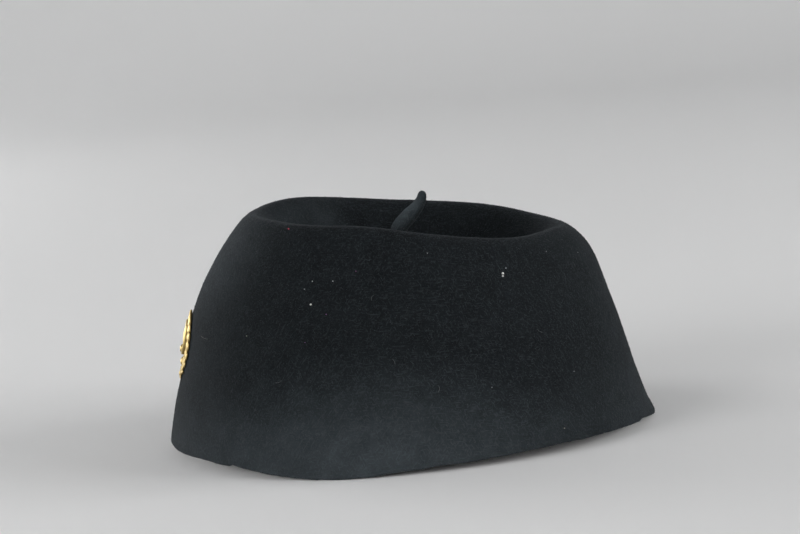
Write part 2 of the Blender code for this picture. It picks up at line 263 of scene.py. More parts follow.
# Laurel: two branches of leaves in threes, from the bow up to the top of the badge's oval.
# A branch's start and end are turns in degrees from the badge's side
BRANCH_ACROSS = 1.0
BRANCH_UP = 0.9
BRANCH_START = -70.0
BRANCH_END = 66.0
BRANCH_STEPS = 9
LEAF_LENGTH = 5.2
MIDDLE_LEAF_STRETCH = 1.1
LEAF_WIDTH = 2.05
LEAF_SHRINK = 0.22
LEAF_BROAD_PLACE = 0.8
LEAF_FULLNESS = 0.75
LEAF_LEAN = 27.0
LEAF_RISE = 0.9
LEAF_TAPER = 0.25
LEAF_BASE = 0.35
LEAF_TIP = 1.0
LEAF_DOME = 0.55
LEAF_DOME_START = 0.15
LEAF_GROOVE = 0.28
LEAF_GROOVE_WIDTH = 0.22
LEAF_DEPTH = 0.45
LEAF_COLUMNS = 6
LEAF_ROWS = 8
BERRY_RADIUS = 0.55
BERRY_HEIGHT = 1.15
BERRY_REACH = 0.82

# Tarnish and painted shade fill the badge's low parts, below this height, and the corners that bend
# inwards, where shade would fall
TARNISH_AND_SHADE_HEIGHT = 1.5
TARNISH_AND_SHADE_SMOOTHING = 2

# Badge post and nut
POST_RADIUS = 1.2
POST_SIDES = 32
POST_PAST_NUT = 0.8
POST_SINK = 0.35
NUT_SIDES = 96
NUT_RADIUS = 5.0
KNURL_DEPTH = 0.03
KNURL_FROM = 0.95
NUT_RINGS = (
    Ring("bore foot", 0.25, 0.0),
    Ring("foot", 0.93, 0.0),
    Ring("foot edge", 1.0, 0.2),
    Ring("side", 1.0, 0.8),
    Ring("face edge", 0.93, 1.0),
    Ring("face", 0.62, 1.0),
    Ring("step", 0.58, 0.88),
    Ring("inner face", 0.32, 0.88),
    Ring("bore face", 0.25, 0.80),
)

# A stretch from one range of values to another
Range = namedtuple("Range", "low high to_low to_high")

# Felt's look: its colour in the shade of its clumps and on its top fibres, the scales of its
# fibres and clumps, and its bump
Felt = namedtuple("Felt", "name deep light fibre_scale clump_scale bump")
CAP_FELT = Felt(
    "black_felt", (0.0056, 0.0074, 0.0085), (0.020, 0.0240, 0.0268), 1800.0, 120.0, 0.6)
STEM_FELT = Felt(
    "stem_felt", (0.0068, 0.0088, 0.0100), (0.022, 0.027, 0.030), 2000.0, 200.0, 0.5)
CLUMP_SHADE = 0.75
CLUMP_LIGHT = 1.25
CLUMP_DETAIL = 4.0
CLUMP_ROUGHNESS = 0.6
CLUMP_RANGE = Range(0.3, 0.7, 0.0, 1.0)
CLUMP_HEIGHT = 0.6
STRAND_ANGLES = (25.0, 85.0, 145.0)
STRAND_STRETCH = 6.0
STRAND_DETAIL = 1.0
STRAND_RANGE = Range(0.54, 0.76, 0.0, 1.0)
BUMP_DISTANCE = 0.25
FELT_ROUGHNESS = 0.95
FELT_SPECULAR = 0.1
SHEEN_WEIGHT = 0.04
SHEEN_ROUGHNESS = 0.45
SHEEN_TINT = (0.80, 0.90, 1.0, 1.0)

# Worn felt and painted light: the bends at which wear with a painted highlight starts and is full,
# as one over their radius in metres, how pale wear and painted light make it, and how clumps and
# fibres break it up
WEAR_AND_HIGHLIGHT_RANGE = Range(120.0, 260.0, 0.0, 1.0)
WEAR_AND_LIGHT_PALENESS = 2.6
WEAR_AND_HIGHLIGHT_BY_CLUMP = Range(0.35, 0.65, 0.45, 1.2)
PAINTED_LIGHT_BY_CLUMP = Range(0.3, 0.7, 0.6, 0.93)
WEAR_AND_LIGHT_BY_FIBRE = Range(0.0, 1.0, 0.85, 1.25)

# Wool fibres and lint
FIBRE_DARK = (0.0050, 0.0066, 0.0075, 1.0)
FIBRE_PALE = (0.072, 0.083, 0.091, 1.0)
FIBRE_ROUGHNESS = 0.8
FIBRE_SPECULAR = 0.2
LINT_GRAIN_SCALE = 4000.0
LINT_GRAIN = (0.6, 0.6, 0.6, 1.0)
LINT_DULLNESS = 0.9

# Gilt: its clean colour and its dark colour of tarnish and painted shade, and how a soft cloud
# spreads them
GILT_CLEAN = (0.56, 0.43, 0.18, 1.0)
GILT_TARNISH_AND_SHADE = (0.19, 0.135, 0.055, 1.0)
GILT_CLOUD_SCALE = 420.0
GILT_CLOUD_DETAIL = 5.0
GILT_ROUGHNESS = Range(0.0, 1.0, 0.42, 0.68)
TARNISH_AND_SHADE_CORNERS = Range(0.0, 1500.0, 0.0, 1.0)
TARNISH_AND_SHADE_LOW = 0.9
TARNISH_AND_SHADE_BY_CLOUD = Range(0.35, 0.65, 0.55, 1.15)
TARNISH_FILM = Range(0.3, 0.75, 0.0, 0.25)

# Studio: a flat floor, a sweep and a round wall of paper that is painted paler farther out, as
# painted light that brightens the far backdrop
STUDIO_FLAT = 1600.0
STUDIO_SWEEP = 2200.0
STUDIO_WALL = 2000.0
STUDIO_STEPS = 20
STUDIO_SIDES = 96
PAPER_NEAR = (0.80, 0.80, 0.80, 1.0)
PAPER_FAR = (0.88, 0.88, 0.88, 1.0)
PAPER_ROUGHNESS = 0.9
PAPER_REACH = Range(300.0 * MM, 2200.0 * MM, 0.0, 0.9)
PAPER_CLOUD_SCALE = 1.2
PAPER_CLOUD = Range(0.3, 0.7, 0.0, 0.1)

# Softboxes round the hat: azimuth 0 is at its front, 90 at its left; powers are in watts
AIR_COLOR = (0.93, 0.96, 1.0, 1.0)
AIR_STRENGTH = 0.095
SOFTBOX_DISTANCE = 2000.0
Softbox = namedtuple("Softbox", "name azimuth elevation width height power")
SOFTBOXES = (
    Softbox("right_window", 166.0, 14.0, 1400.0, 880.0, 34.0),
    Softbox("left_window", 30.0, 16.0, 1330.0, 880.0, 21.0),
    Softbox("rear_window", 326.0, 9.0, 1200.0, 440.0, 24.0),
)


# Meshes

def merged_copy(node_name):
    """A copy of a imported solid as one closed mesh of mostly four-sided faces."""
    mesh = bmesh.new()
    mesh.from_mesh(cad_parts[node_name].data)
    bmesh.ops.remove_doubles(mesh, verts=mesh.verts, dist=MERGE_DISTANCE)
    bmesh.ops.join_triangles(
        mesh, faces=mesh.faces, angle_face_threshold=QUAD_ANGLE, angle_shape_threshold=QUAD_ANGLE)
    return mesh


def new_piece(name, mesh, material):
    data = bpy.data.meshes.new(name)
    mesh.to_mesh(data)
    mesh.free()
    data.shade_smooth()
    item = bpy.data.objects.new(name, data)
    bpy.context.scene.collection.objects.link(item)
    data.materials.append(material)
    return item


def apply_modifiers(item):
    """Turns a piece's modifiers into its mesh."""
    seen = item.evaluated_get(bpy.context.evaluated_depsgraph_get())
    data = bpy.data.meshes.new_from_object(seen)
    item.modifiers.clear()
    item.data = data


def add_subdivision(item, levels):
    modifier = item.modifiers.new("Subdivision", "SUBSURF")
    modifier.levels = levels
    modifier.render_levels = levels


def rough_out(mesh, unevenness):
    """Moves every point in or out by soft noise, like felt that was steamed by hand."""
    mesh.normal_update()
    moves = []
    for vertex in mesh.verts:
        depth = sum(noise.noise(vertex.co / (row.size * MM)) * row.depth for row in unevenness)
        moves.append(vertex.normal * depth * MM)
    for vertex, move in zip(mesh.verts, moves):
        vertex.co += move


def mark_bends(mesh, name, side, smoothing):
    """Writes how sharply a mesh bends at each point: outwards for side 1, inwards for side -1."""
    layer = mesh.verts.layers.float.new(name)
    mesh.normal_update()
    for vertex in mesh.verts:
        bends = []
        for edge in vertex.link_edges:
            other = edge.other_vert(vertex)
            away = other.co - vertex.co
            bends.append((other.normal - vertex.normal).dot(away) / away.length_squared)
        vertex[layer] = max(0.0, side * sum(bends) / len(bends)) if bends else 0.0
    for _ in range(smoothing):
        means = []
        for vertex in mesh.verts:
            around = [edge.other_vert(vertex)[layer] for edge in vertex.link_edges]
            means.append((vertex[layer] + sum(around) / max(1, len(around))) / 2)
        for vertex, mean in zip(mesh.verts, means):
            vertex[layer] = mean


def mark_painted_light(mesh):
    """Writes the painted light at each point: how much paler the felt is painted there."""
    fade = mesh.verts.layers.float.new("fade")
    for vertex in mesh.verts:
        turn = math.degrees(math.atan2(vertex.co.y, vertex.co.x))
        for row in PAINTED_LIGHTS:
            sideways = ((turn - row.turn + 180.0) % 360.0 - 180.0) / row.spread
            upways = (vertex.co.z / MM - row.height) / row.reach
            vertex[fade] += row.amount * max(0.0, 1.0 - sideways ** 2 - upways ** 2) ** 2


def is_rim_face(face):
    low = face.calc_center_median().z < RIM_FACE_TOP * MM
    return low and face.normal.z < RIM_FACE_SLOPE


def near_badge_hole(face):
    offset = face.calc_center_median() / MM - BADGE_MIDDLE
    out = badge_axes()[2]
    return offset.cross(out).length < HOLE_REACH and offset.length < HOLE_DEPTH


def outer_faces(mesh):
    """The faces of the outer skin and of the dish, without the rim and the inside."""
    blocked = {face for face in mesh.faces if is_rim_face(face) or near_badge_hole(face)}
    open_faces = [face for face in mesh.faces if face not in blocked]
    start = max(open_faces, key=lambda face: face.calc_center_median().z)
    found = {start}
    todo = [start]
    while todo:
        for edge in todo.pop().edges:
            for face in edge.link_faces:
                if face not in found and face not in blocked:
                    found.add(face)
                    todo.append(face)
    return found


def step_height(place):
    """How much the rim's steps lift a place: fully where a step starts, then less and less."""
    turn = math.degrees(math.atan2(place.y, place.x))
    return sum(
        step.depth * (1.0 - (turn - step.turn) / step.reach)
        for step in RIM_STEPS if 0.0 <= turn - step.turn <= step.reach)


def make_felt_cap(material):
    mesh = merged_copy("felt_body")
    mesh.normal_update()
    crease = mesh.edges.layers.float.new("crease_edge")
    rim = mesh.verts.layers.float.new("rim")
    skin = mesh.verts.layers.float.new("skin")
    for face in mesh.faces:
        if is_rim_face(face):
            for vertex in face.verts:
                vertex[rim] = 1.0
            for edge in face.edges:
                if edge.calc_face_angle(0.0) > RIM_CORNER:
                    edge[crease] = RIM_CREASE
    for face in outer_faces(mesh):
        for vertex in face.verts:
            vertex[skin] = 1.0
    cap = new_piece("felt_cap", mesh, material)
    add_subdivision(cap, CAP_SUBDIVISION)
    apply_modifiers(cap)

    mesh = bmesh.new()
    mesh.from_mesh(cap.data)
    # Convex bends get wear together with a painted highlight, where a fold would catch the light
    mark_bends(mesh, "wear", 1.0, WEAR_AND_HIGHLIGHT_SMOOTHING)
    mark_painted_light(mesh)
    rough_out(mesh, FELT_UNEVENNESS)
    rim = mesh.verts.layers.float["rim"]
    wear = mesh.verts.layers.float["wear"]
    for vertex in mesh.verts:
        vertex[wear] *= 1.0 - RIM_SPARED_SHARE * min(1.0, vertex[rim] * RIM_SPARED_SPREAD)
        edge = max(0.0, vertex[rim]) ** 2
        nick = max(0.0, noise.noise(vertex.co / (RIM_NICK_SIZE * MM))) * RIM_NICK_DEPTH
        sway = noise.noise(vertex.co / (RIM_SWAY_SIZE * MM)) * RIM_SWAY_DEPTH
        vertex.co.z = max(0.0, vertex.co.z + edge * (nick + sway + step_height(vertex.co)) * MM)
    mesh.to_mesh(cap.data)
    mesh.free()
    return cap


def cap_tree(cap):
    """The cap's faces, for lines that look for the felt."""
    mesh = bmesh.new()
    mesh.from_mesh(cap.data)
    tree = BVHTree.FromBMesh(mesh)
    mesh.free()
    return tree


def make_stem(material):
    mesh = merged_copy("crown_stem")
    stem = new_piece("felt_stem", mesh, material)
    add_subdivision(stem, STEM_SUBDIVISION)
    apply_modifiers(stem)
    mesh = bmesh.new()
    mesh.from_mesh(stem.data)
    rough_out(mesh, STEM_UNEVENNESS)
    mesh.normal_update()
    fade = mesh.verts.layers.float.new("fade")
    bottom = min(vertex.co.z for vertex in mesh.verts)
    top = max(vertex.co.z for vertex in mesh.verts)
    for vertex in mesh.verts:
        # Painted light: the stem is painted paler on its side that faces the light, most at one
        # share of its height
        away = ((vertex.co.z - bottom) / (top - bottom) - STEM_PAINTED_LIGHT_PLACE) / STEM_PAINTED_LIGHT_REACH
        paleness = STEM_PAINTED_LIGHT * max(0.0, 1.0 - away ** 2)
        vertex[fade] = paleness * max(0.0, vertex.normal.dot(STEM_LIT_SIDE))
        share = max(0.0, 1.0 - (vertex.co.z - bottom) / (STEM_FOOT_HEIGHT * MM))
        vertex.co.z -= STEM_FOOT_SINK * share ** 2 * MM
    mesh.to_mesh(stem.data)
    mesh.free()
    return stem


# Loose fibres

def faces_of(verts):
    return list({face for vertex in verts for face in vertex.link_faces})


def add_strand(mesh, length, foot_radius, tip_radius, sides, steps):
    """A thin tapered rod that stands on the origin along Z, cut into steps, and its vertices."""
    before = set(mesh.verts)
    bmesh.ops.create_cone(
        mesh, cap_ends=True, segments=sides, radius1=foot_radius, radius2=tip_radius, depth=length,
        matrix=Matrix.Translation((0.0, 0.0, length / 2)))
    fresh = [vertex for vertex in mesh.verts if vertex not in before]
    bmesh.ops.remove_doubles(mesh, verts=fresh, dist=MERGE_DISTANCE / MM)
    for step in range(1, steps):
        fresh = [vertex for vertex in mesh.verts if vertex not in before]
        edges = list({edge for vertex in fresh for edge in vertex.link_edges})
        bmesh.ops.bisect_plane(
            mesh, geom=fresh + edges + faces_of(fresh), plane_co=(0.0, 0.0, length * step / steps),
            plane_no=(0.0, 0.0, 1.0))
    return [vertex for vertex in mesh.verts if vertex not in before]


def make_fibre(row, material):
    """One tapered fibre that stands on the origin along Z and bends over sideways."""
    mesh = bmesh.new()
    for vertex in add_strand(mesh, row.length, row.width / 2, 0.0, FIBRE_SIDES, row.segments):
        share = vertex.co.z / row.length
        vertex.co.y += row.bend * row.length * share ** 2
        vertex.co.z *= 1.0 - row.bend * FIBRE_BOW * share
    bmesh.ops.scale(mesh, vec=(MM, MM, MM), verts=mesh.verts)
    return new_piece(row.name + "_fibre", mesh, material)


def fibre_tree(row, fibre):
    """Geometry nodes that stand copies of a fibre all over a skin, each with its own lean."""
    tree = bpy.data.node_groups.new(row.name, "GeometryNodeTree")
    tree.interface.new_socket("Skin", in_out="INPUT", socket_type="NodeSocketGeometry")
    tree.interface.new_socket("Fibres", in_out="OUTPUT", socket_type="NodeSocketGeometry")
    skin = tree.nodes.new("NodeGroupInput")
    fibres = tree.nodes.new("NodeGroupOutput")
    places = tree.nodes.new("GeometryNodeDistributePointsOnFaces")
    places.inputs["Density"].default_value = row.density
    places.inputs["Seed"].default_value = row.seed
    lean = tree.nodes.new("FunctionNodeRandomValue")
    lean.data_type = "FLOAT_VECTOR"
    lean.inputs["Min"].default_value = (math.radians(-row.high_lean), -FIBRE_SWAY, 0.0)
    lean.inputs["Max"].default_value = (math.radians(-row.low_lean), FIBRE_SWAY, 2.0 * math.pi)
    lean.inputs["Seed"].default_value = row.seed + 1
    turn = tree.nodes.new("FunctionNodeRotateRotation")
    turn.rotation_space = "LOCAL"
    size = tree.nodes.new("FunctionNodeRandomValue")
    size.data_type = "FLOAT_VECTOR"
    size.inputs["Min"].default_value = (FIBRE_THINNEST, FIBRE_THINNEST, FIBRE_SHORTEST)
    size.inputs["Max"].default_value = (FIBRE_THICKEST, FIBRE_THICKEST, FIBRE_LONGEST)
    size.inputs["Seed"].default_value = row.seed + 2
    shape = tree.nodes.new("GeometryNodeObjectInfo")
    shape.inputs["Object"].default_value = fibre
    copies = tree.nodes.new("GeometryNodeInstanceOnPoints")
    chance = tree.nodes.new("FunctionNodeRandomValue")
    chance.inputs["Seed"].default_value = row.seed + 3
    tone = tree.nodes.new("ShaderNodeMath")
    tone.operation = "POWER"
    tone.inputs[1].default_value = row.rarity
    keep = tree.nodes.new("GeometryNodeStoreNamedAttribute")
    keep.domain = "INSTANCE"
    keep.inputs["Name"].default_value = "tone"
    real = tree.nodes.new("GeometryNodeRealizeInstances")
    tree.links.new(skin.outputs["Skin"], places.inputs["Mesh"])
    tree.links.new(places.outputs["Rotation"], turn.inputs["Rotation"])
    tree.links.new(lean.outputs["Value"], turn.inputs["Rotate By"])
    tree.links.new(places.outputs["Points"], copies.inputs["Points"])
    tree.links.new(shape.outputs["Geometry"], copies.inputs["Instance"])
    tree.links.new(turn.outputs["Rotation"], copies.inputs["Rotation"])
    tree.links.new(size.outputs["Value"], copies.inputs["Scale"])
    tree.links.new(chance.outputs["Value"], tone.inputs[0])
    tree.links.new(copies.outputs["Instances"], keep.inputs["Geometry"])
    tree.links.new(tone.outputs["Value"], keep.inputs["Value"])
    tree.links.new(keep.outputs["Geometry"], real.inputs["Geometry"])
    tree.links.new(real.outputs["Geometry"], fibres.inputs["Fibres"])
    return tree


def skin_mesh(cap, stem):
    """The outer skin of the cap and the stem, for fibres to stand on."""
    mesh = bmesh.new()
    mesh.from_mesh(cap.data)
    skin = mesh.verts.layers.float["skin"]
    inside = [face for face in mesh.faces if min(vertex[skin] for vertex in face.verts) < 0.5]
    bmesh.ops.delete(mesh, geom=inside, context="FACES")
    mesh.from_mesh(stem.data)
    return mesh


def make_fibres(row, skin, material):
    fibre = make_fibre(row, material)
    fibres = new_piece(row.name, skin, material)
    modifier = fibres.modifiers.new("Fibres", "NODES")
    modifier.node_group = fibre_tree(row, fibre)
    apply_modifiers(fibres)
    bpy.data.objects.remove(fibre, do_unlink=True)
    for vertex in fibres.data.vertices:
        vertex.co.z = max(vertex.co.z, FIBRE_FLOOR_GAP * MM)
    return fibres


def felt_spot(tree, row):
    """The point of the left wall where a crumb or thread lies, and the wall's normal there."""
    start = Vector((RAY_START_SIDE, row.y, row.z)) * MM
    return tree.ray_cast(start, Vector((-1.0, 0.0, 0.0)))[:2]


def make_lint(tree, material):
    """Crumbs, flecks and threads on the left wall, each in its own colour."""
    mesh = bmesh.new()
    color = mesh.verts.layers.float_color.new("lint_color")
    for row in LINT:
        spot, normal = felt_spot(tree, row)
        middle = spot + normal * row.size * MM * LINT_LIFT
        made = bmesh.ops.create_icosphere(
            mesh, subdivisions=2, radius=row.size * MM / 2, matrix=Matrix.Translation(middle))
        for vertex in made["verts"]:
            bump = noise.noise(vertex.co / (row.size * MM)) * LINT_ROUGHNESS
            vertex.co += (vertex.co - middle) * bump
            vertex[color] = (*row.color, 1.0)
    for row in THREADS:
        spot, normal = felt_spot(tree, row)
        across = Vector((0.0, 0.0, 1.0)).cross(normal).normalized()
        turn = math.radians(row.turn)
        along = math.cos(turn) * across + math.sin(turn) * normal.cross(across)
        aside = normal.cross(along)
        strand = add_strand(
            mesh, row.length, THREAD_RADIUS, THREAD_RADIUS / 2, THREAD_SIDES, THREAD_STEPS)
        for vertex in strand:
            share = vertex.co.z / row.length
            bow = row.bend * row.length * share * (share - 1.0)
            height = vertex.co.x + THREAD_RADIUS + row.lift * math.sin(math.pi * share)
            sideways = vertex.co.y + bow
            vertex.co = spot + (height * normal + sideways * aside + vertex.co.z * along) * MM
            vertex[color] = (*row.color, 1.0)
    return new_piece("felt_lint", mesh, material)


# Badge

def badge_axes():
    """The badge's across, up and outward directions."""
    out = Vector((0.0, -math.cos(BADGE_LEAN), math.sin(BADGE_LEAN)))
    side = Vector((1.0, 0.0, 0.0))
    return side, out.cross(side), out


def badge_point(tree, across, up, height):
    """A point at a height over the felt, which is read beside the hole of the post."""
    side, rise, out = badge_axes()
    away = Vector((across, up))
    if away.length < HOLE_REACH:
        away = away.normalized() * HOLE_REACH if away.length else Vector((HOLE_REACH, 0.0))
    start = BADGE_MIDDLE + away.x * side + away.y * rise + RAY_START * out
    felt = tree.ray_cast(start * MM, -out)[0] / MM
    over_plane = (felt - BADGE_MIDDLE).dot(out)
    return (BADGE_MIDDLE + across * side + up * rise + (over_plane + BADGE_GAP + height) * out) * MM


def power_part(value, squareness):
    return math.copysign(abs(value) ** (2.0 / squareness), value)


def add_turned(mesh, rings, sides, knurl=0.0):
    """A round form of unit size turned from its section, with a knurled side, and its vertices."""
    before = set(mesh.verts)
    closed = rings[0].reach > 0.0
    verts = [mesh.verts.new((ring.reach, 0.0, ring.height)) for ring in rings]
    pairs = list(zip(verts, verts[1:])) + ([(verts[-1], verts[0])] if closed else [])
    edges = [mesh.edges.new(pair) for pair in pairs]
    bmesh.ops.spin(
        mesh, geom=verts + edges, cent=(0.0, 0.0, 0.0), axis=(0.0, 0.0, 1.0), angle=2.0 * math.pi,
        steps=sides, use_merge=True)
    fresh = [vertex for vertex in mesh.verts if vertex not in before]
    bmesh.ops.remove_doubles(mesh, verts=fresh, dist=MERGE_DISTANCE / MM)
    fresh = [vertex for vertex in mesh.verts if vertex not in before]
    bmesh.ops.recalc_face_normals(mesh, faces=faces_of(fresh))
    for vertex in fresh:
        turn = math.atan2(vertex.co.y, vertex.co.x)
        if math.hypot(vertex.co.x, vertex.co.y) > KNURL_FROM:
            vertex.co.xy *= 1.0 + knurl * math.cos(turn * sides / 2)
    return fresh


def add_form(mesh, form):
    """A turned form stretched to its outline and put at its place in the badge's plane."""
    for vertex in add_turned(mesh, form.rings, form.sides):
        reach = math.hypot(vertex.co.x, vertex.co.y)
        turn = math.atan2(vertex.co.y, vertex.co.x)
        square = form.top if vertex.co.y >= 0.0 else form.bottom
        flat = Vector((
            form.half_width * power_part(math.cos(turn), square),
            form.half_height * power_part(math.sin(turn), square)))
        flat.rotate(Matrix.Rotation(math.radians(form.lean), 2))
        vertex.co.xy = flat * reach
        vertex.co += Vector((form.across, form.up, 0.0))
        vertex.co.z *= form.height


def branch_place(turn):
    """A point on the middle of the laurel and the direction in which it grows there."""
    angle = math.radians(turn)
    plate = FORMS[0]
    across = math.cos(angle) * plate.half_width * BRANCH_ACROSS
    up = math.sin(angle) * plate.half_height * BRANCH_UP
    ahead = Vector((-math.sin(angle) * plate.half_width, math.cos(angle) * plate.half_height))
    return Vector((across, up)), math.atan2(ahead.y, ahead.x)


def add_leaf(mesh, point, direction, length, width):
    """A pointed leaf, grooved along its middle, which lies low at its foot and high at its tip."""
    made = bmesh.ops.create_grid(mesh, x_segments=LEAF_ROWS, y_segments=LEAF_COLUMNS, size=1.0)
    top = list(made["verts"])
    raised = bmesh.ops.extrude_face_region(mesh, geom=faces_of(top))
    upper = {item for item in raised["geom"] if isinstance(item, bmesh.types.BMVert)}
    grown = Matrix.Rotation(direction, 2)
    for vertex in list(upper) + top:
        along = (vertex.co.x + 1.0) / 2
        off = vertex.co.y
        half = 0.0
        if 0.0 < along < 1.0:
            half = width / 2 * math.sin(math.pi * along ** LEAF_BROAD_PLACE) ** LEAF_FULLNESS
        swell = math.sin(math.pi * (LEAF_DOME_START + (1.0 - LEAF_DOME_START) * along))
        dome = LEAF_DOME * (1.0 - off ** 2) * swell
        groove = LEAF_GROOVE * math.exp(-(off / LEAF_GROOVE_WIDTH) ** 2)
        height = LEAF_BASE + (LEAF_TIP - LEAF_BASE) * along
        height += dome - groove if vertex in upper else -LEAF_DEPTH
        flat = grown @ Vector((along * length, off * half))
        vertex.co = Vector((point.x + flat.x, point.y + flat.y, height))
    bmesh.ops.remove_doubles(mesh, verts=list(upper) + top, dist=MERGE_DISTANCE / MM)


def add_laurel(mesh):
    """Two branches of leaves in threes, with a berry on the inner side of every second three."""
    half_height = FORMS[0].half_height
    for step in range(BRANCH_STEPS):
        share = step / (BRANCH_STEPS - 1)
        turn = BRANCH_START + (BRANCH_END - BRANCH_START) * share
        size = 1.0 - LEAF_SHRINK * share
        point, direction = branch_place(turn)
        for lean in (-LEAF_LEAN, LEAF_LEAN, 0.0):
            before = set(mesh.verts)
            length = LEAF_LENGTH * size * (MIDDLE_LEAF_STRETCH if lean == 0.0 else 1.0)
            add_leaf(mesh, point, direction + math.radians(lean), length, LEAF_WIDTH * size)
            fresh = [vertex for vertex in mesh.verts if vertex not in before]
            for vertex in fresh:
                vertex.co.z *= LEAF_RISE + LEAF_TAPER * vertex.co.y / half_height
            copied = bmesh.ops.duplicate(mesh, geom=fresh + faces_of(fresh))["geom"]
            for item in copied:
                if isinstance(item, bmesh.types.BMVert):
                    item.co.x = -item.co.x
            mirrored = [item for item in copied if isinstance(item, bmesh.types.BMFace)]
            bmesh.ops.reverse_faces(mesh, faces=mirrored)
        if step % 2 == 1:
            for side in (-1.0, 1.0):
                across, up = side * point.x * BERRY_REACH, point.y * BERRY_REACH
                add_form(mesh, Form(
                    "berry", BERRY_RINGS, BERRY_SIDES, across, up, BERRY_RADIUS, BERRY_RADIUS,
                    BERRY_HEIGHT, 0.0, 2.0, 2.0))


def make_badge(tree, material):
    mesh = bmesh.new()
    for form in FORMS:
        add_form(mesh, form)
    add_laurel(mesh)
    depth = mesh.verts.layers.float.new("depth")
    for vertex in mesh.verts:
        vertex[depth] = max(0.0, 1.0 - vertex.co.z / TARNISH_AND_SHADE_HEIGHT)
        vertex.co = badge_point(tree, vertex.co.x, vertex.co.y, vertex.co.z)
    mark_bends(mesh, "recess", -1.0, TARNISH_AND_SHADE_SMOOTHING)
    side, rise, out = badge_axes()
    foot = nut_heights()[0] - POST_PAST_NUT
    length = POST_SINK - foot
    middle = BADGE_MIDDLE + out * (foot + length / 2)
    turned = Matrix((side, rise, out)).transposed().to_4x4()
    bmesh.ops.create_cone(
        mesh, cap_ends=True, segments=POST_SIDES, radius1=POST_RADIUS * MM,
        radius2=POST_RADIUS * MM, depth=length * MM,
        matrix=Matrix.Translation(middle * MM) @ turned)
    return new_piece("gilt_badge", mesh, material)


def nut_heights():
    """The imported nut's lowest and highest place along the badge's outward line."""
    out = badge_axes()[2]
    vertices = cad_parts["badge_nut"].data.vertices
    places = [(vertex.co / MM - BADGE_MIDDLE).dot(out) for vertex in vertices]
    return min(places), max(places)


def make_nut(material):
    """The round nut inside the hat: a knurled edge, and a step round the post."""
    side, rise, out = badge_axes()
    low, high = nut_heights()
    mesh = bmesh.new()
    for vertex in add_turned(mesh, NUT_RINGS, NUT_SIDES, KNURL_DEPTH):
        x, y, z = vertex.co
        flat = (x * side + y * rise) * NUT_RADIUS
        vertex.co = (BADGE_MIDDLE + flat + (high - z * (high - low)) * out) * MM
    bmesh.ops.recalc_face_normals(mesh, faces=mesh.faces)
    return new_piece("round_nut", mesh, material)


# Materials

def new_material(name):
    material = bpy.data.materials.new(name)
    material.use_nodes = True
    nodes = material.node_tree.nodes
    return material, material.node_tree, nodes["Principled BSDF"]


def add_node(tree, kind, **settings):
    node = tree.nodes.new(kind)
    for name, value in settings.items():
        setattr(node, name, value)
    return node


def set_inputs(node, **values):
    """Sets a node's inputs by their names, with a low line for each space."""
    for name, value in values.items():
        node.inputs[name.replace("_", " ")].default_value = value


def add_range(tree, source, span, smooth=False):
    """A value stretched from one range to another."""
    node = tree.nodes.new("ShaderNodeMapRange")
    node.interpolation_type = "SMOOTHSTEP" if smooth else "LINEAR"
    set_inputs(
        node, From_Min=span.low, From_Max=span.high, To_Min=span.to_low, To_Max=span.to_high)
    tree.links.new(source, node.inputs["Value"])
    return node.outputs["Result"]


def add_math(tree, operation, first, second):
    """Two values joined by a sum, product or the like."""
    node = add_node(tree, "ShaderNodeMath", operation=operation)
    for socket, value in zip(node.inputs, (first, second)):
        if isinstance(value, float):
            socket.default_value = value
        else:
            tree.links.new(value, socket)
    return node.outputs["Value"]


def add_noise(tree, place, **values):
    """A cloud of soft noise at a place."""
    node = tree.nodes.new("ShaderNodeTexNoise")
    set_inputs(node, **values)
    tree.links.new(place, node.inputs["Vector"])
    return node


def add_strands(tree, given, normal):
    """Short fine strands that lie in the felt's surface and cross at three angles."""
    weights = tree.nodes.new("ShaderNodeSeparateXYZ")
    tree.links.new(normal, weights.inputs["Vector"])
    total = 0.0
    for axis, name in enumerate("XYZ"):
        strongest = 0.0
        for angle in STRAND_ANGLES:
            turned = add_node(tree, "ShaderNodeMapping", vector_type="TEXTURE")
            turned.inputs["Rotation"].default_value[axis] = math.radians(angle)
            turned.inputs["Scale"].default_value[0 if name == "Z" else 2] = STRAND_STRETCH
            tree.links.new(given.outputs["Vector"], turned.inputs["Vector"])
            strand = add_noise(tree, turned.outputs["Vector"], Detail=STRAND_DETAIL)
            tree.links.new(given.outputs["Fibre Scale"], strand.inputs["Scale"])
            strongest = add_math(tree, "MAXIMUM", strongest, strand.outputs["Fac"])
        facing = add_math(tree, "POWER", weights.outputs[name], 2.0)
        share = add_math(tree, "MULTIPLY", facing, strongest)
        total = add_math(tree, "ADD", total, share)
    return total


